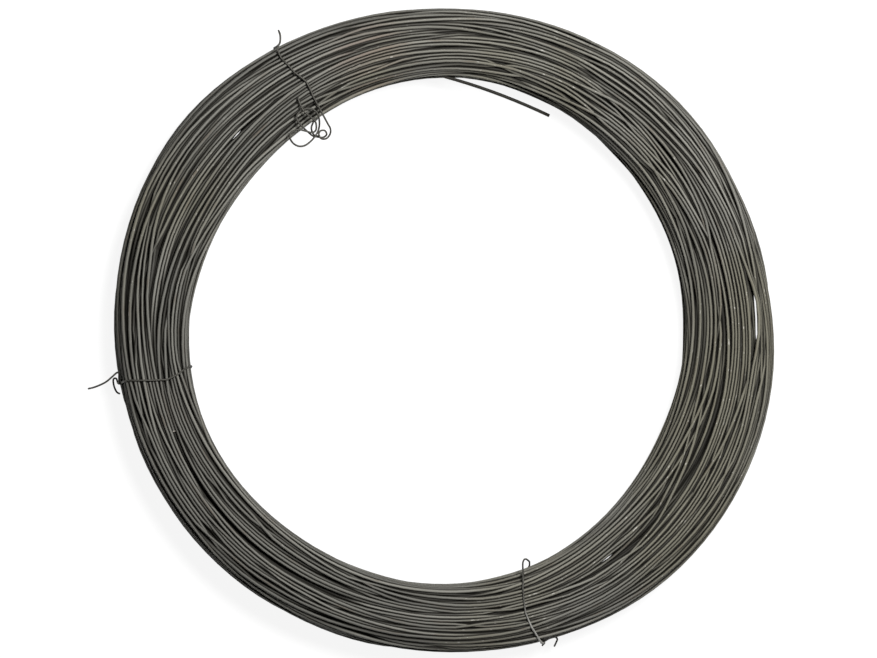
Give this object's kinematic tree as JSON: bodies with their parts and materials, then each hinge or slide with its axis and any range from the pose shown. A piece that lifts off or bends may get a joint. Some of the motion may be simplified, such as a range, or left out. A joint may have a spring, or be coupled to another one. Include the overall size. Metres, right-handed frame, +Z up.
{
  "type": "coil of wire",
  "caption": "Flat ring-shaped coil of dark drawn steel wire, its parallel turns held by thin twisted binding wires, with one loose wire end in the opening.",
  "frame": {"origin": "on the floor, in the middle of the ring", "axes": "+Z up along the axis of the ring, +X along its long way, with the left binding wire's tail at -X, +Y towards the place where the loose end leaves the turns"},
  "size_m": [0.4177, 0.388, 0.0388],
  "materials": {
    "drawn_wire": "dark drawn steel, olive grey, satin",
    "binding_wire": "dark annealed steel, dull"
  },
  "bodies": {
    "root": {"wire_coil": "drawn_wire", "tie_upper_left": "binding_wire", "tie_left": "binding_wire", "tie_lower_right": "binding_wire"}
  },
  "joints": []
}
